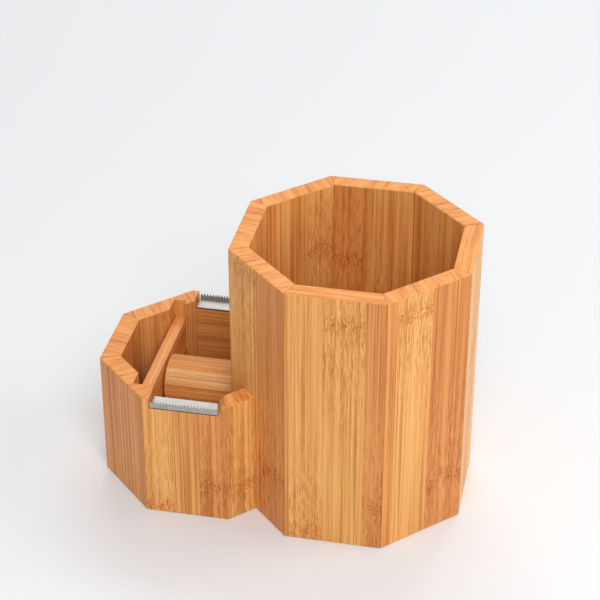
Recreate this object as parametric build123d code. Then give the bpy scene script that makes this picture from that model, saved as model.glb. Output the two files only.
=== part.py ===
from build123d import *
import math
import os

# Desk organiser of laminated bamboo: a tall octagonal pen cup with a low octagonal compartment
# glued to its left side. A lift-out board divides the compartment into a clip tray and a tape bay
# with a drum and two serrated cutting blades.
# Millimetres. +X runs from the compartment to the cup, +Y to the back, +Z up.
# The origin is the centre of the footprint, on the surface that the object stands on.

# ---- pen cup ----
CUP_FLATS = 82.0
CUP_HEIGHT = 100.0
CUP_WALL = 6.5
CUP_FLOOR = 6.0

# ---- low compartment ----
BAY_FLATS = 72.0
BAY_HEIGHT = 48.5
BAY_WALL = 7.0
BAY_FLOOR = 5.0
AXIS_SPACING = 53.3

# ---- sanded edges ----
ARRIS_RADIUS = 0.5
RIM_RADIUS = 0.45
FOOT_CHAMFER = 0.4
BOARD_RADIUS = 0.4

# ---- divider board and its grooves ----
TAPE_BAY_LENGTH = 27.8
DIVIDER_THICKNESS = 4.4
DIVIDER_HALF_WIDTH = 27.9
DIVIDER_TOP = 41.5
GROOVE_PLAY = 0.1

# ---- tape drum and its axle ----
DRUM_DIAMETER = 18.0
DRUM_HEIGHT = 32.6
DRUM_CUP_GAP = 1.1
DRUM_DIVIDER_GAP = 0.8
DRUM_CHAMFER = 0.35
AXLE_DIAMETER = 8.0
AXLE_PLAY = 0.05
AXLE_SHOULDER_DIAMETER = 11.0
AXLE_SHOULDER_LENGTH = 0.5
AXLE_CHAMFER = 0.5

# ---- cutting blades, adhesive strips and their notches ----
NOTCH_FLOOR = 44.5
NOTCH_SHOULDER_RADIUS = 4.0
NOTCH_SHOULDER_TURN = 14.0
BLADE_LENGTH = 24.0
BLADE_FLANGE = 6.5
BLADE_THICKNESS = 0.3
BLADE_LIP = 2.6
TOOTH_HEIGHT = 1.2
TOOTH_COUNT = 22
BLADE_END_PLAY = 0.4
STRIP_THICKNESS = 0.45
STRIP_INSET = 0.1

# ---- how far the cutters pass the faces they cut ----
OVERCUT = 1.0
DEEP_OVERCUT = 3.0
LONG_REACH = 40.0

# ---- positions worked out from the above ----
TOTAL_LENGTH = BAY_FLATS / 2 + AXIS_SPACING + CUP_FLATS / 2
CUP_X = TOTAL_LENGTH / 2 - CUP_FLATS / 2
BAY_X = CUP_X - AXIS_SPACING
CUP_LEFT_FACE = CUP_X - CUP_FLATS / 2
DIVIDER_RIGHT_FACE = CUP_LEFT_FACE - TAPE_BAY_LENGTH
DIVIDER_LEFT_FACE = DIVIDER_RIGHT_FACE - DIVIDER_THICKNESS
DRUM_LEFT = DIVIDER_RIGHT_FACE + DRUM_DIVIDER_GAP
DRUM_RIGHT = CUP_LEFT_FACE - DRUM_CUP_GAP
BLADE_LEFT = BAY_X - BLADE_LENGTH / 2
BLADE_RIGHT = BAY_X + BLADE_LENGTH / 2

HALF_SECTOR = 22.5
SIDES = {
    "right": 0,
    "rear_right": 45,
    "rear": 90,
    "rear_left": 135,
    "left": 180,
    "front_left": 225,
    "front": 270,
    "front_right": 315,
}


def octagon(center_x, flats):
    """Regular octagon with a side facing +X."""
    shape = RegularPolygon(flats / 2, 8, major_radius=False, rotation=HALF_SECTOR)
    return Pos(center_x, 0, 0) * shape


def octagonal_ring(center_x, flats, wall, height):
    """Open octagonal wall with sanded upright corners, rim edges and foot."""
    outline = octagon(center_x, flats)
    outline = fillet(outline.vertices(), ARRIS_RADIUS)
    ring = extrude(outline, height) - extrude(octagon(center_x, flats - 2 * wall), height)
    rim = ring.faces().sort_by(Axis.Z)[-1]
    ring = fillet(rim.edges(), RIM_RADIUS)
    foot = ring.faces().sort_by(Axis.Z)[0]
    return chamfer(foot.outer_wire().edges(), FOOT_CHAMFER)


def sector(center_x, angle, reach, height):
    """Wedge between two mitre planes, with its point on the octagon's axis."""
    half_width = reach * math.tan(math.radians(HALF_SECTOR))
    plan = Polygon((0, 0), (reach, -half_width), (reach, half_width), align=None)
    return extrude(Pos(center_x, 0, 0) * Rot(0, 0, angle) * plan, height)


def staves(center_x, ring, reach, height):
    """The ring cut along its mitre planes, one stave for each side."""
    return {side: ring & sector(center_x, angle, reach, height) for side, angle in SIDES.items()}


def floor_panel(center_x, flats, thickness):
    """Panel that fills the inside of a ring, flush with its foot."""
    return extrude(octagon(center_x, flats), thickness)


def prism(points, bottom, top):
    """Upright prism over a plan outline."""
    plan = Pos(0, 0, bottom) * Polygon(*points, align=None)
    return extrude(plan, top - bottom)


def block(low, high):
    """Box between two opposite corners."""
    size = [b - a for a, b in zip(low, high)]
    center = [(a + b) / 2 for a, b in zip(low, high)]
    return Pos(*center) * Box(*size)


def blade_notch():
    """Cutter for the front notch: square at its left end, a convex shoulder at its right end.

    The shoulder is a quarter of a cylinder whose axis is turned a little off the Y axis, so that
    it follows the wall as the wall turns the corner.
    """
    outer = -BAY_FLATS / 2
    left = BLADE_LEFT - BLADE_END_PLAY
    right = BLADE_RIGHT + BLADE_END_PLAY
    centre_drop = NOTCH_SHOULDER_RADIUS - (BAY_HEIGHT - NOTCH_FLOOR)
    run = math.sqrt(NOTCH_SHOULDER_RADIUS**2 - centre_drop**2)
    top = BAY_HEIGHT + OVERCUT
    pocket = block(
        (left, outer - OVERCUT, NOTCH_FLOOR),
        (right + 2 * NOTCH_SHOULDER_RADIUS, outer + BAY_WALL + DEEP_OVERCUT, top),
    )
    pivot = Pos(right, outer, 0) * Rot(0, 0, NOTCH_SHOULDER_TURN)
    kept = pivot * block((0, -LONG_REACH, 0), (LONG_REACH, LONG_REACH, top + OVERCUT))
    round_off = pivot * block((0, -LONG_REACH, NOTCH_FLOOR), (run, LONG_REACH, top + OVERCUT))
    axis_height = BAY_HEIGHT - NOTCH_SHOULDER_RADIUS
    bar = Rot(90, 0, 0) * Cylinder(NOTCH_SHOULDER_RADIUS, 2 * LONG_REACH)
    round_off = round_off - pivot * Pos(run, 0, axis_height) * bar
    return (pocket - kept) + round_off


def mirrored_back(shape):
    return mirror(shape, about=Plane.XZ)


def blade():
    """Front cutting blade: a flange on the notch floor and an upright toothed lip outside."""
    under = NOTCH_FLOOR + STRIP_THICKNESS
    outer = -BAY_FLATS / 2
    pitch = BLADE_LENGTH / TOOTH_COUNT
    root = under + BLADE_LIP - TOOTH_HEIGHT
    tip = under + BLADE_LIP
    outline = [(BLADE_LEFT, under), (BLADE_RIGHT, under), (BLADE_RIGHT, root)]
    for tooth in range(TOOTH_COUNT):
        right_root = BLADE_RIGHT - tooth * pitch
        outline.append((right_root - pitch / 2, tip))
        outline.append((right_root - pitch, root))
    lip_plan = Plane.XZ * Polygon(*outline, align=None)
    lip = Pos(0, outer + BLADE_THICKNESS, 0) * extrude(lip_plan, BLADE_THICKNESS)
    inner = outer + BLADE_FLANGE
    flange = block(
        (BLADE_LEFT, outer, under),
        (BLADE_RIGHT, inner, under + BLADE_THICKNESS),
    )
    skew = math.tan(math.radians(NOTCH_SHOULDER_TURN)) * BLADE_FLANGE
    past_end = BLADE_RIGHT + OVERCUT
    past_inner = inner + OVERCUT
    end_cut = prism(
        [(BLADE_RIGHT, outer), (past_end, outer), (past_end, past_inner),
         (BLADE_RIGHT - skew, past_inner), (BLADE_RIGHT - skew, inner)],
        under - OVERCUT, under + OVERCUT,
    )
    return lip + (flange - end_cut)


def adhesive_strip():
    """Front adhesive strip, between the notch floor and the blade's flange."""
    outer = -BAY_FLATS / 2 + STRIP_INSET
    inner = -BAY_FLATS / 2 + BLADE_FLANGE - STRIP_INSET
    skew = math.tan(math.radians(NOTCH_SHOULDER_TURN)) * BLADE_FLANGE
    right = BLADE_RIGHT - STRIP_INSET
    return prism(
        [(BLADE_LEFT + STRIP_INSET, outer), (right, outer), (right - skew, inner),
         (BLADE_LEFT + STRIP_INSET, inner)],
        NOTCH_FLOOR, NOTCH_FLOOR + STRIP_THICKNESS,
    )


def divider_board():
    """Board with rounded top edges and a through hole for the axle pin."""
    board = block(
        (DIVIDER_LEFT_FACE, -DIVIDER_HALF_WIDTH, BAY_FLOOR),
        (DIVIDER_RIGHT_FACE, DIVIDER_HALF_WIDTH, DIVIDER_TOP),
    )
    top = board.faces().sort_by(Axis.Z)[-1]
    board = fillet(top.edges().filter_by(Axis.Y), BOARD_RADIUS)
    hole = along_x(AXLE_DIAMETER, DIVIDER_LEFT_FACE - OVERCUT, DIVIDER_RIGHT_FACE + OVERCUT)
    return board - hole


def along_x(diameter, start, end):
    """Round bar on the drum's axis."""
    middle = (start + end) / 2
    return Pos(middle, 0, DRUM_HEIGHT) * Rot(0, 90, 0) * Cylinder(diameter / 2, end - start)


def end_circles(solid, diameter):
    """Circular edges of one diameter at the two ends of a bar along X."""
    circles = solid.edges().filter_by(GeomType.CIRCLE)
    return circles.filter_by(lambda edge: math.isclose(edge.radius, diameter / 2))


def axle_pin():
    """Pin fixed flush in the divider, with a shoulder that keeps the drum off the board."""
    pin = along_x(AXLE_DIAMETER, DIVIDER_LEFT_FACE, DRUM_RIGHT)
    free_end = end_circles(pin, AXLE_DIAMETER).sort_by(Axis.X)[-1]
    pin = chamfer(free_end, AXLE_CHAMFER)
    shoulder_end = DIVIDER_RIGHT_FACE + AXLE_SHOULDER_LENGTH
    return pin + along_x(AXLE_SHOULDER_DIAMETER, DIVIDER_RIGHT_FACE, shoulder_end)


def tape_drum():
    """Turned drum with eased ends and a running bore."""
    drum = along_x(DRUM_DIAMETER, DRUM_LEFT, DRUM_RIGHT)
    drum = chamfer(end_circles(drum, DRUM_DIAMETER), DRUM_CHAMFER)
    bore = AXLE_DIAMETER + 2 * AXLE_PLAY
    return drum - along_x(bore, DRUM_LEFT - OVERCUT, DRUM_RIGHT + OVERCUT)


def build():
    """Every piece by its node name."""
    pieces = {}

    # Pen cup.
    cup_ring = octagonal_ring(CUP_X, CUP_FLATS, CUP_WALL, CUP_HEIGHT)
    for side, stave in staves(CUP_X, cup_ring, CUP_FLATS, CUP_HEIGHT).items():
        pieces[f"cup_{side}_stave"] = stave
    pieces["cup_floor"] = floor_panel(CUP_X, CUP_FLATS - 2 * CUP_WALL, CUP_FLOOR)

    # Low compartment: its right stave is left out, because the cup's wall takes that place.
    cup_space = extrude(octagon(CUP_X, CUP_FLATS), CUP_HEIGHT)
    groove = block(
        (DIVIDER_LEFT_FACE - GROOVE_PLAY, -DIVIDER_HALF_WIDTH - GROOVE_PLAY, BAY_FLOOR),
        (DIVIDER_RIGHT_FACE + GROOVE_PLAY, DIVIDER_HALF_WIDTH + GROOVE_PLAY, BAY_HEIGHT),
    )
    front_notch = blade_notch()
    cuts = groove + front_notch + mirrored_back(front_notch)
    bay_ring = octagonal_ring(BAY_X, BAY_FLATS, BAY_WALL, BAY_HEIGHT)
    for side, stave in staves(BAY_X, bay_ring, BAY_FLATS, BAY_HEIGHT).items():
        if side != "right":
            pieces[f"bay_{side}_stave"] = stave - cup_space - cuts
    bay_panel = floor_panel(BAY_X, BAY_FLATS - 2 * BAY_WALL, BAY_FLOOR)
    pieces["bay_floor"] = bay_panel - cup_space

    # Blades and the strips that hold them.
    pieces["front_blade"] = blade()
    pieces["rear_blade"] = mirrored_back(blade())
    pieces["front_adhesive_strip"] = adhesive_strip()
    pieces["rear_adhesive_strip"] = mirrored_back(adhesive_strip())

    # Lift-out divider with its axle, and the drum that turns on it.
    pieces["divider_board"] = divider_board()
    pieces["axle_pin"] = axle_pin()
    pieces["tape_drum"] = tape_drum()
    return pieces


os.makedirs("parts", exist_ok=True)
for name, piece in build().items():
    export_step(piece, f"parts/{name}.step")
    print(name, len(piece.solids()), "solid", round(piece.volume), "mm3")
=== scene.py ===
import math
import random

import bpy
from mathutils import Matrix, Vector


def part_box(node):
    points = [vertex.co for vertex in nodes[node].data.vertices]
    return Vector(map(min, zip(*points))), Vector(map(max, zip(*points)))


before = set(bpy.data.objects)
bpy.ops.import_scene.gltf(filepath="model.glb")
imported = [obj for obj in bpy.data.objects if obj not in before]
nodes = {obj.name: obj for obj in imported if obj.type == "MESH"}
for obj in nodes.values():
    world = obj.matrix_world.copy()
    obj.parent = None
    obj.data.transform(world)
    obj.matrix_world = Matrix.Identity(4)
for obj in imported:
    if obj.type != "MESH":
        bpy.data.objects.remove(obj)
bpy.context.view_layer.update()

MM = 1000.0
SIDE_ANGLE = {
    "right": 0, "rear_right": 45, "rear": 90, "rear_left": 135,
    "left": 180, "front_left": 225, "front": 270, "front_right": 315,
}
MITRE_SLOPE = math.tan(math.radians(22.5))

# Base colours of the bamboo strips, linear.
YELLOW = (0.760, 0.360, 0.104)
TAN = (0.745, 0.340, 0.098)
ORANGE = (0.690, 0.280, 0.074)
RED = (0.650, 0.250, 0.066)
BROWN = (0.690, 0.278, 0.078)
CREAM = (0.800, 0.435, 0.170)
PALE_ORANGE = (0.840, 0.365, 0.115)

NO_KNUCKLE = -100.0

# Strips of each stave in view, from left to right as seen from outside: right edge in mm from the
# middle of the stave, colour, and height in mm of the strip's knuckle.
CUP_STRIPS = {
    "front": [
        (-15.5, ORANGE, NO_KNUCKLE), (-4.2, TAN, 3.0), (9.9, YELLOW, 89.5), (17.0, RED, 17.5),
    ],
    "front_right": [
        (-12.9, ORANGE, NO_KNUCKLE), (1.4, YELLOW, 93.0), (17.0, RED, 20.0),
    ],
    "front_left": [
        (0.0, YELLOW, 96.0), (17.0, RED, 22.0),
    ],
    "right": [
        (-6.0, CREAM, NO_KNUCKLE), (8.0, YELLOW, 60.0), (17.0, CREAM, NO_KNUCKLE),
    ],
    "rear": [
        (-11.0, TAN, NO_KNUCKLE), (2.0, TAN, 40.0), (14.5, ORANGE, 69.0), (17.0, TAN, NO_KNUCKLE),
    ],
    "rear_right": [
        (-4.0, YELLOW, NO_KNUCKLE), (9.4, YELLOW, 44.0), (17.0, TAN, NO_KNUCKLE),
    ],
    "rear_left": [
        (-3.0, YELLOW, 76.0), (10.4, TAN, NO_KNUCKLE), (17.0, ORANGE, 30.0),
    ],
}
BAY_STRIPS = {
    "front": [
        (-4.6, YELLOW, 2.5), (4.7, TAN, NO_KNUCKLE), (14.9, RED, 13.0),
    ],
    "front_right": [
        (-2.0, YELLOW, 12.0), (14.9, TAN, NO_KNUCKLE),
    ],
    "front_left": [
        (-3.2, RED, NO_KNUCKLE), (10.2, BROWN, NO_KNUCKLE), (14.9, RED, NO_KNUCKLE),
    ],
    "rear_left": [
        (-8.0, TAN, NO_KNUCKLE), (4.0, YELLOW, 26.0), (14.9, YELLOW, NO_KNUCKLE),
    ],
}
# Staves whose rim shows lines that run with the stave instead of across it.
RIM_LINES_ALONG = {("cup", "front"), ("cup", "right")}
# Stave whose grain lies level instead of upright.
LEVEL_GRAIN = {("bay", "rear")}
STRIP_WIDTH = 13.4
# Stave with level grain: half the height that its strips cover, and the middle of it, in mm.
LEVEL_HALF = 25.0
LEVEL_MIDDLE = 24.0
# Half width in mm of the strip tables of the floor panels, the divider and the drum.
FLOOR_HALF = 36.0
DIVIDER_HALF = 18.5
DRUM_HALF = 9.0

# Distance from the knuckle line, in mm, over which each effect fades out.
KNUCKLE_CORE = (1.0, 5.2)
KNUCKLE_HALO = (3.0, 22.0)
DASH_REACH = (6.0, 58.0)
KNUCKLE_WAVE = 8.0

# Streaks of the grain: how many to a mm across it, and how many to a mm along it.
LINES = (2.9, 0.009)
DASHES = (3.3, 0.20)
FIBRES = (8.0, 0.08)
BANDS = (0.85, 0.010)
SHADES = (0.24, 0.010)

# Factors on the strip's colour: place on the ramp, then red, green and blue.
GRAIN_TINTS = [
    (0.0, (0.65, 0.49, 0.33)), (0.28, (0.87, 0.79, 0.67)),
    (0.6, (1.0, 1.0, 1.0)), (1.0, (1.14, 1.22, 1.36)),
]
BROAD_TINTS = [
    (0.0, (0.93, 0.87, 0.80)), (0.5, (1.0, 1.0, 1.0)), (1.0, (1.04, 1.07, 1.10)),
]
# Factors for the knuckle as a whole, its dark pores, its light flecks and the glue lines.
KNUCKLE_TINT = (0.93, 0.80, 0.70)
PORE_TINT = (0.67, 0.48, 0.34)
FLECK_TINT = (1.12, 1.24, 1.36)
GLUE_TINT = (0.80, 0.69, 0.58)
RIM_GLUE_TINT = (0.74, 0.58, 0.44)
# Colours of the end grain on the rims, from its dark lines to its pale ones.
END_GRAIN_COLORS = [
    (0.0, (0.62, 0.178, 0.030)), (0.28, (0.745, 0.258, 0.050)),
    (0.60, (0.795, 0.303, 0.070)), (1.0, (0.85, 0.375, 0.098)),
]
DARK_STEEL = (0.41, 0.395, 0.375)
PALE_STEEL = (0.47, 0.455, 0.435)
DARK_FOAM = (0.05, 0.035, 0.025)
PALE_FOAM = (0.16, 0.11, 0.08)

# Weight of the oil finish on sanded and on turned pieces.
SANDED_COAT = 0.08
TURNED_COAT = 0.15

# How far from a mitre plane, in mm, its glue line fades out.
GLUE_LINE = (0.02, 0.3)
# Upward share of the surface normal at which a sanded edge turns into end grain.
END_GRAIN = (0.35, 0.75)

WORLD_STRENGTH = 0.50
WORLD_COLOR = (0.98, 0.99, 1.0, 1.0)
LIGHT_AIM = (0.0, 0.0, 0.05)
# Name, place, target, width, height and power of each light, in metres and watts.
LIGHTS = [
    ("key_light", (0.27, -0.73, 0.83), LIGHT_AIM, 0.6, 0.6, 6.8),
    ("side_light", (0.93, 0.16, 0.38), LIGHT_AIM, 0.5, 0.5, 3.2),
    ("back_light", (-0.1, 1.5, 1.5), (-0.1, 1.35, 0.0), 1.4, 0.9, 17.0),
]
FLOOR_COLOR = (0.80, 0.81, 0.825, 1.0)
FLOOR_HALF_WIDTH = 4.0

CAMERA_LENS = 109.47
CAMERA_SENSOR = 36.0
CAMERA_TARGET = (0.00427, 0.0, 0.07208)
CAMERA_AZIMUTH = 11.47
CAMERA_ELEVATION = 32.03
CAMERA_DISTANCE = 0.6348


# ---------------------------------------------------------------- shader helpers

class Graph:
    """Adds and links the nodes of one node tree."""

    def __init__(self, tree):
        self.tree = tree

    def feed(self, socket, value):
        if isinstance(value, bpy.types.NodeSocket):
            self.tree.links.new(value, socket)
        else:
            socket.default_value = value

    def add(self, kind, inputs=None, **settings):
        node = self.tree.nodes.new(kind)
        for name, value in settings.items():
            setattr(node, name, value)
        for name, value in (inputs or {}).items():
            self.feed(node.inputs[name], value)
        return node

    def math(self, operation, a, b=0.0, c=0.0):
        node = self.add("ShaderNodeMath", {0: a, 1: b, 2: c}, operation=operation)
        return node.outputs[0]

    def vector(self, x, y, z):
        return self.add("ShaderNodeCombineXYZ", {0: x, 1: y, 2: z}).outputs[0]

    def split(self, vector):
        return self.add("ShaderNodeSeparateXYZ", {0: vector}).outputs

    def noise(self, x, y, z, detail=2.0, roughness=0.5, distortion=0.0):
        inputs = {
            "Vector": self.vector(x, y, z), "Scale": 1.0, "Detail": detail,
            "Roughness": roughness, "Distortion": distortion,
        }
        return self.add("ShaderNodeTexNoise", inputs).outputs["Fac"]

    def spread(self, value, low, high, out_low=0.0, out_high=1.0):
        inputs = {0: value, 1: low, 2: high, 3: out_low, 4: out_high}
        node = self.add("ShaderNodeMapRange", inputs, interpolation_type="SMOOTHSTEP")
        return node.outputs[0]

    def spread_linear(self, value, low, high):
        inputs = {0: value, 1: low, 2: high, 3: 0.0, 4: 1.0}
        return self.add("ShaderNodeMapRange", inputs, interpolation_type="LINEAR").outputs[0]

    def tint(self, color, factor):
        return self.mix(1.0, color, factor, "MULTIPLY")

    def mix(self, factor, a, b, blend="MIX"):
        node = self.add("ShaderNodeMix", data_type="RGBA", blend_type=blend)
        self.feed(node.inputs[0], factor)
        self.feed(node.inputs[6], rgba(a))
        self.feed(node.inputs[7], rgba(b))
        return node.outputs[2]

    def mix_value(self, factor, a, b):
        node = self.add("ShaderNodeMix", {0: factor, 2: a, 3: b}, data_type="FLOAT")
        return node.outputs[0]

    def ramp(self, factor, stops, interpolation="LINEAR"):
        node = self.add("ShaderNodeValToRGB", {0: factor})
        ramp = node.color_ramp
        ramp.interpolation = interpolation
        while len(ramp.elements) < len(stops):
            ramp.elements.new(0.5)
        for element, (position, _) in zip(ramp.elements, stops):
            element.position = position
        for element, (_, color) in zip(ramp.elements, stops):
            element.color = rgba(color)
        return node.outputs[0]


def rgba(color):
    """Three numbers with a full alpha; anything else as it is."""
    if isinstance(color, tuple) and len(color) == 3:
        return (*color, 1.0)
    return color


def new_material(name):
    """Material with its graph and its shader."""
    material = bpy.data.materials.new(name)
    material.use_nodes = True
    graph = Graph(material.node_tree)
    shader = material.node_tree.nodes["Principled BSDF"]
    return material, graph, shader


def paint(node_name, material):
    """Gives a CAD node one material."""
    slots = nodes[node_name].data.materials
    slots.clear()
    slots.append(material)


# ---------------------------------------------------------------- bamboo

def bamboo_group():
    """Colour and surface of laminated bamboo.

    Point is in mm: X across the strips, Y through the board, Z along the grain. Knuckle is the
    height of the strip's knuckle. End is 1 on end grain, Along is 1 where its lines run with X.
    Joint is 0 on a glue line.
    """
    tree = bpy.data.node_groups.new("bamboo", "ShaderNodeTree")
    sockets = tree.interface
    sockets.new_socket("Point", in_out="INPUT", socket_type="NodeSocketVector")
    sockets.new_socket("Strip", in_out="INPUT", socket_type="NodeSocketColor")
    for name in ("Knuckle", "End", "Along", "Joint", "Seed"):
        sockets.new_socket(name, in_out="INPUT", socket_type="NodeSocketFloat")
    sockets.new_socket("Color", in_out="OUTPUT", socket_type="NodeSocketColor")
    sockets.new_socket("Relief", in_out="OUTPUT", socket_type="NodeSocketFloat")
    sockets.new_socket("Roughness", in_out="OUTPUT", socket_type="NodeSocketFloat")
    g = Graph(tree)
    given = g.add("NodeGroupInput").outputs
    result = g.add("NodeGroupOutput").inputs
    x, y, z = g.split(given["Point"])
    seed = g.math("MULTIPLY", given["Seed"], 17.3)
    has_knuckle = g.math("GREATER_THAN", given["Knuckle"], NO_KNUCKLE / 2)

    # Height above the knuckle, with a wavy knuckle line.
    wave = g.noise(g.math("MULTIPLY_ADD", x, 0.3, seed), g.math("MULTIPLY", y, 0.2), seed, 1.0)
    rise = g.math("SUBTRACT", z, given["Knuckle"])
    rise = g.math("MULTIPLY_ADD", g.math("SUBTRACT", wave, 0.5), KNUCKLE_WAVE, rise)
    distance = g.math("ABSOLUTE", rise)
    core = g.math("MULTIPLY", g.spread(distance, *KNUCKLE_CORE, 1.0, 0.0), has_knuckle)
    halo = g.math("MULTIPLY", g.spread(distance, *KNUCKLE_HALO, 1.0, 0.0), has_knuckle)
    near_knuckle = g.math("MULTIPLY", g.spread(distance, *DASH_REACH, 1.0, 0.0), has_knuckle)

    # Fibres swing sideways round the knuckle.
    swing_noise = g.noise(
        g.math("MULTIPLY", x, 0.5), g.math("ADD", y, seed), g.math("MULTIPLY", z, 0.26), 1.0)
    swing = g.math("SUBTRACT", swing_noise, 0.5)
    reach = g.math("MULTIPLY_ADD", core, 0.7, g.math("MULTIPLY_ADD", halo, 1.0, 0.3))
    bent = g.math("ADD", g.math("MULTIPLY_ADD", swing, reach, x), seed)

    # Long lines, short dashes, hair-fine fibres, bands and broad shades.
    def streaks(fineness, detail, roughness):
        across_grain, along_grain = fineness
        return g.noise(
            g.math("MULTIPLY", bent, across_grain), g.math("MULTIPLY", y, across_grain),
            g.math("MULTIPLY", z, along_grain), detail, roughness)

    lines = streaks(LINES, 3.0, 0.6)
    dashes = streaks(DASHES, 3.0, 0.62)
    fibres = streaks(FIBRES, 2.0, 0.6)
    bands = streaks(BANDS, 2.0, 0.5)
    shades = streaks(SHADES, 2.0, 0.5)
    dash_share = g.math("MULTIPLY_ADD", near_knuckle, 0.85, 0.10)
    grain = g.mix_value(0.36, g.mix_value(dash_share, lines, dashes), bands)
    grain = g.spread(grain, 0.36, 0.64)
    tone = g.math("MULTIPLY_ADD", g.math("SUBTRACT", fibres, 0.5), 0.7, grain)
    color = g.tint(given["Strip"], g.ramp(tone, GRAIN_TINTS))
    color = g.tint(color, g.ramp(g.spread(shades, 0.3, 0.7), BROAD_TINTS))

    # Speckles of the knuckle: dark pores and light flecks.
    fleck = g.noise(
        g.math("MULTIPLY", bent, 2.1), g.math("MULTIPLY", y, 1.8), g.math("MULTIPLY", z, 0.85),
        3.0, 0.65)
    dark = g.math("MULTIPLY", g.spread(fleck, 0.50, 0.62), core)
    light = g.math("MULTIPLY", g.spread(fleck, 0.48, 0.36), core)
    color = g.mix(g.math("MULTIPLY", core, 0.45), color, g.tint(color, KNUCKLE_TINT))
    color = g.mix(dark, color, g.tint(color, PORE_TINT))
    color = g.mix(g.math("MULTIPLY", light, 0.7), color, g.tint(color, FLECK_TINT))

    # End grain on the rims.
    across = g.noise(
        g.math("MULTIPLY_ADD", x, 0.72, g.math("MULTIPLY_ADD", y, 0.16, seed)),
        g.math("MULTIPLY", y, 0.07), seed, 4.0, 0.62, 0.22)
    along = g.noise(
        g.math("MULTIPLY_ADD", x, 0.04, seed), g.math("MULTIPLY", y, 0.9), seed, 4.0, 0.62, 0.2)
    ends = g.mix_value(given["Along"], across, along)
    rim = g.ramp(g.spread(ends, 0.30, 0.66), END_GRAIN_COLORS)
    color = g.mix(given["End"], color, rim)

    # Glue lines.
    glue = g.mix(given["End"], GLUE_TINT, RIM_GLUE_TINT)
    color = g.mix(given["Joint"], g.tint(color, glue), color)

    relief = g.mix_value(given["End"], tone, ends)
    g.feed(result["Color"], color)
    g.feed(result["Relief"], relief)
    g.feed(result["Roughness"], g.math("MULTIPLY_ADD", relief, -0.12, 0.56))
    return tree


BAMBOO = bamboo_group()


def strip_ramps(g, across, half_width, strips):
    """Colour and knuckle height of the strip that a point lies in."""
    place = g.spread_linear(across, -half_width, half_width)
    starts = [-half_width] + [edge for edge, _, _ in strips[:-1]]
    stops = [(start + half_width) / (2 * half_width) for start in starts]
    colors = [(stop, color) for stop, (_, color, _) in zip(stops, strips)]
    heights = []
    for stop, (_, _, knuckle) in zip(stops, strips):
        level = (knuckle - NO_KNUCKLE) / (2 * -NO_KNUCKLE)
        heights.append((stop, (level, level, level)))
    color = g.ramp(place, colors, "CONSTANT")
    level = g.split(g.ramp(place, heights, "CONSTANT"))[0]
    knuckle = g.math("MULTIPLY_ADD", level, 2 * -NO_KNUCKLE, NO_KNUCKLE)
    return color, knuckle


def invented_strips(half_width, seed):
    """Strips for a stave that no view settles, the same each run."""
    draw = random.Random(seed)
    edge = -half_width + draw.uniform(3.0, STRIP_WIDTH)
    strips = []
    while True:
        color = draw.choice([YELLOW, TAN, TAN, ORANGE, RED])
        knuckle = draw.choice([NO_KNUCKLE, draw.uniform(8.0, 92.0)])
        strips.append((min(edge, half_width), color, knuckle))
        if edge >= half_width:
            return strips
        edge += STRIP_WIDTH


def finish_bamboo(g, shader, group, coat):
    """Joins the bamboo group to the shader."""
    g.feed(shader.inputs["Base Color"], group.outputs["Color"])
    g.feed(shader.inputs["Roughness"], group.outputs["Roughness"])
    bump = g.add("ShaderNodeBump", {"Strength": 0.35, "Distance": 0.00006})
    g.feed(bump.inputs["Height"], group.outputs["Relief"])
    g.feed(shader.inputs["Normal"], bump.outputs[0])
    shader.inputs["IOR"].default_value = 1.45
    shader.inputs["Specular IOR Level"].default_value = 0.35
    shader.inputs["Coat Weight"].default_value = coat
    shader.inputs["Coat Roughness"].default_value = 0.35


def stave_material(unit, side, center_x, apothem, strips, seed):
    """Bamboo for one stave of an octagon whose axis stands at center_x, all in mm."""
    material, g, shader = new_material(f"bamboo_{unit}_{side}")
    angle = -math.radians(SIDE_ANGLE[side])
    coordinates = g.add("ShaderNodeTexCoord").outputs
    mapping = g.add("ShaderNodeMapping", {
        "Vector": coordinates["Object"],
        "Location": (-center_x * math.cos(angle), -center_x * math.sin(angle), 0.0),
        "Rotation": (0.0, 0.0, angle),
        "Scale": (MM, MM, MM),
    }, vector_type="POINT")
    outward, across, up = g.split(mapping.outputs[0])
    half_width = apothem * MITRE_SLOPE
    level = (unit, side) in LEVEL_GRAIN
    strip_axis, grain_axis = (up, across) if level else (across, up)
    if level:
        height = g.math("SUBTRACT", strip_axis, LEVEL_MIDDLE)
        strips = invented_strips(LEVEL_HALF, seed)
        color, knuckle = strip_ramps(g, height, LEVEL_HALF, strips)
    else:
        color, knuckle = strip_ramps(g, across, half_width, strips)
    facing_up = g.split(coordinates["Normal"])[2]
    end = g.spread(facing_up, *END_GRAIN)
    from_mitre = g.math("SUBTRACT", g.math("MULTIPLY", outward, MITRE_SLOPE),
                        g.math("ABSOLUTE", across))
    group = g.add("ShaderNodeGroup", node_tree=BAMBOO)
    g.feed(group.inputs["Point"], g.vector(strip_axis, outward, grain_axis))
    g.feed(group.inputs["Strip"], color)
    g.feed(group.inputs["Knuckle"], knuckle)
    g.feed(group.inputs["End"], end)
    g.feed(group.inputs["Along"], 1.0 if (unit, side) in RIM_LINES_ALONG else 0.0)
    g.feed(group.inputs["Joint"], g.spread(from_mitre, *GLUE_LINE))
    g.feed(group.inputs["Seed"], float(seed))
    finish_bamboo(g, shader, group, SANDED_COAT)
    return material


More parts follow.
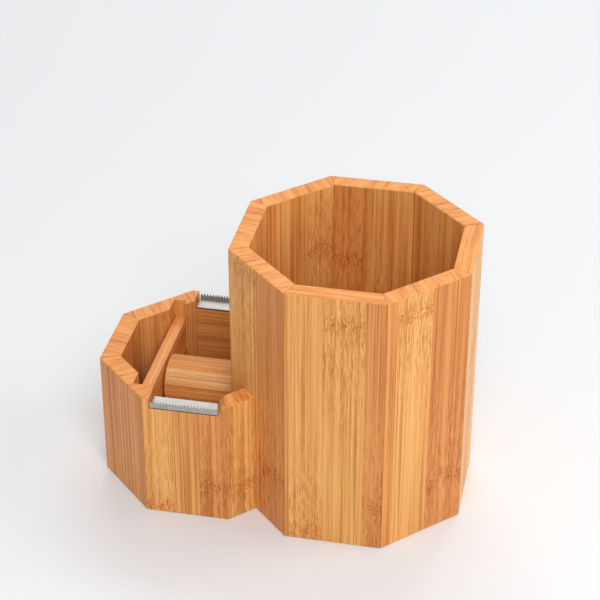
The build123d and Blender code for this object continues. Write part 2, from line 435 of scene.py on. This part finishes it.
def plain_bamboo(name, axes, center, half_width, strips, seed, coat=SANDED_COAT):
    """Bamboo for a panel or a turned piece.

    axes names which of X, Y and Z runs across the strips, through the board and along the grain.
    """
    material, g, shader = new_material(name)
    coordinates = g.add("ShaderNodeTexCoord").outputs
    mapping = g.add("ShaderNodeMapping", {
        "Vector": coordinates["Object"],
        "Location": tuple(-c for c in center),
        "Scale": (MM, MM, MM),
    }, vector_type="POINT")
    parts = dict(zip("XYZ", g.split(mapping.outputs[0])))
    across, through, grain = (parts[axis] for axis in axes)
    color, knuckle = strip_ramps(g, across, half_width, strips)
    group = g.add("ShaderNodeGroup", node_tree=BAMBOO)
    g.feed(group.inputs["Point"], g.vector(across, through, grain))
    g.feed(group.inputs["Strip"], color)
    g.feed(group.inputs["Knuckle"], knuckle)
    g.feed(group.inputs["Joint"], 1.0)
    g.feed(group.inputs["Seed"], float(seed))
    finish_bamboo(g, shader, group, coat)
    return material


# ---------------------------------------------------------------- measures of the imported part

def middle(name):
    """Centre in mm of the box round a CAD node."""
    low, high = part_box(name)
    return [(a + b) / 2 * MM for a, b in zip(low, high)]


cup_x = middle("cup_floor")[0]
cup_apothem = (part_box("cup_right_stave")[1].x * MM) - cup_x
bay_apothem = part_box("bay_rear_stave")[1].y * MM
bay_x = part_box("bay_left_stave")[0].x * MM + bay_apothem


# ---------------------------------------------------------------- materials of the pieces

def paint_staves(unit, center_x, apothem, known_strips, first_seed):
    half_width = apothem * MITRE_SLOPE
    for seed, side in enumerate(SIDE_ANGLE, first_seed):
        name = f"{unit}_{side}_stave"
        if name in nodes:
            strips = known_strips.get(side) or invented_strips(half_width, seed)
            paint(name, stave_material(unit, side, center_x, apothem, strips, seed))


paint_staves("cup", cup_x, cup_apothem, CUP_STRIPS, 1)
paint_staves("bay", bay_x, bay_apothem, BAY_STRIPS, 11)
for seed, name in enumerate(("cup_floor", "bay_floor"), 31):
    floor_strips = invented_strips(FLOOR_HALF, seed)
    paint(name, plain_bamboo(f"bamboo_{name}", "XZY", middle(name), FLOOR_HALF, floor_strips, seed))

# Strips of the plain pieces: right edge in mm from the middle, colour and knuckle.
divider_strips = [
    (-8.0, ORANGE, NO_KNUCKLE), (6.0, TAN, NO_KNUCKLE), (DIVIDER_HALF, PALE_ORANGE, NO_KNUCKLE),
]
drum_strips = [
    (-8.4, TAN, NO_KNUCKLE), (-4.6, CREAM, NO_KNUCKLE), (DRUM_HALF, ORANGE, NO_KNUCKLE),
]
axle_strips = [(DRUM_HALF, TAN, NO_KNUCKLE)]
paint("divider_board", plain_bamboo(
    "bamboo_divider", "ZXY", middle("divider_board"), DIVIDER_HALF, divider_strips, 41))
paint("tape_drum", plain_bamboo(
    "bamboo_drum", "YZX", middle("tape_drum"), DRUM_HALF, drum_strips, 44, TURNED_COAT))
paint("axle_pin", plain_bamboo(
    "bamboo_axle", "YZX", middle("axle_pin"), DRUM_HALF, axle_strips, 46, TURNED_COAT))


def blade_material():
    """Bright strip steel, brushed along its length."""
    material, g, shader = new_material("blade_steel")
    x, y, z = g.split(g.add("ShaderNodeTexCoord").outputs["Object"])
    brushed = g.noise(
        g.math("MULTIPLY", x, 120.0), g.math("MULTIPLY", y, 5000.0),
        g.math("MULTIPLY", z, 5000.0), 3.0, 0.6)
    cloud = g.noise(g.math("MULTIPLY", x, 260.0), g.math("MULTIPLY", y, 400.0),
                    g.math("MULTIPLY", z, 400.0))
    steel_color = g.mix(g.spread(cloud, 0.3, 0.7), DARK_STEEL, PALE_STEEL)
    g.feed(shader.inputs["Base Color"], steel_color)
    g.feed(shader.inputs["Roughness"], g.math("MULTIPLY_ADD", brushed, 0.14, 0.40))
    bump = g.add("ShaderNodeBump", {"Strength": 0.08, "Distance": 0.00002, "Height": brushed})
    g.feed(shader.inputs["Normal"], bump.outputs[0])
    shader.inputs["Metallic"].default_value = 1.0
    return material


def adhesive_material():
    """Dark foam tape, seen at its edge."""
    material, g, shader = new_material("adhesive_foam")
    x, y, z = g.split(g.add("ShaderNodeTexCoord").outputs["Object"])
    cells = g.noise(*(g.math("MULTIPLY", part, 2500.0) for part in (x, y, z)), 3.0, 0.7)
    g.feed(shader.inputs["Base Color"], g.mix(cells, DARK_FOAM, PALE_FOAM))
    g.feed(shader.inputs["Roughness"], g.math("MULTIPLY_ADD", cells, 0.2, 0.7))
    return material


steel = blade_material()
foam = adhesive_material()
for end in ("front", "rear"):
    paint(f"{end}_blade", steel)
    paint(f"{end}_adhesive_strip", foam)


# ---------------------------------------------------------------- floor, light and camera

def make_floor():
    """Wide pale floor."""
    half = FLOOR_HALF_WIDTH
    mesh = bpy.data.meshes.new("floor")
    corners = [(-half, -half, 0), (half, -half, 0), (half, half, 0), (-half, half, 0)]
    mesh.from_pydata(corners, [], [(0, 1, 2, 3)])
    floor = bpy.data.objects.new("floor", mesh)
    bpy.context.scene.collection.objects.link(floor)
    material, _, shader = new_material("floor_paper")
    shader.inputs["Base Color"].default_value = FLOOR_COLOR
    shader.inputs["Roughness"].default_value = 0.75
    shader.inputs["Specular IOR Level"].default_value = 0.2
    mesh.materials.append(material)


def area_light(name, place, target, width, height, power):
    """Soft rectangular light that points at a target. Metres and watts."""
    data = bpy.data.lights.new(name, "AREA")
    data.shape = "RECTANGLE"
    data.size = width
    data.size_y = height
    data.energy = power
    light = bpy.data.objects.new(name, data)
    light.location = place
    direction = Vector(target) - Vector(place)
    light.rotation_euler = direction.to_track_quat("-Z", "Y").to_euler()
    bpy.context.scene.collection.objects.link(light)


def make_light():
    """Studio: an even dome, a key light from the front right, a side light and a back light."""
    world = bpy.data.worlds.new("studio")
    world.use_nodes = True
    background = world.node_tree.nodes["Background"]
    background.inputs["Color"].default_value = WORLD_COLOR
    background.inputs["Strength"].default_value = WORLD_STRENGTH
    bpy.context.scene.world = world
    for light in LIGHTS:
        area_light(*light)


def make_camera():
    """Camera with a long lens, looking down at the object from the front and a little right."""
    data = bpy.data.cameras.new("camera")
    data.lens = CAMERA_LENS
    data.sensor_width = CAMERA_SENSOR
    data.clip_start = 0.05
    data.clip_end = 20.0
    camera = bpy.data.objects.new("camera", data)
    target = Vector(CAMERA_TARGET)
    azimuth = math.radians(CAMERA_AZIMUTH)
    elevation = math.radians(CAMERA_ELEVATION)
    back = Vector((
        math.sin(azimuth) * math.cos(elevation),
        -math.cos(azimuth) * math.cos(elevation),
        math.sin(elevation),
    ))
    camera.location = target + back * CAMERA_DISTANCE
    camera.rotation_euler = back.to_track_quat("Z", "Y").to_euler()
    bpy.context.scene.collection.objects.link(camera)
    bpy.context.scene.camera = camera


make_floor()
make_light()
make_camera()
bpy.context.scene.view_settings.view_transform = "Standard"
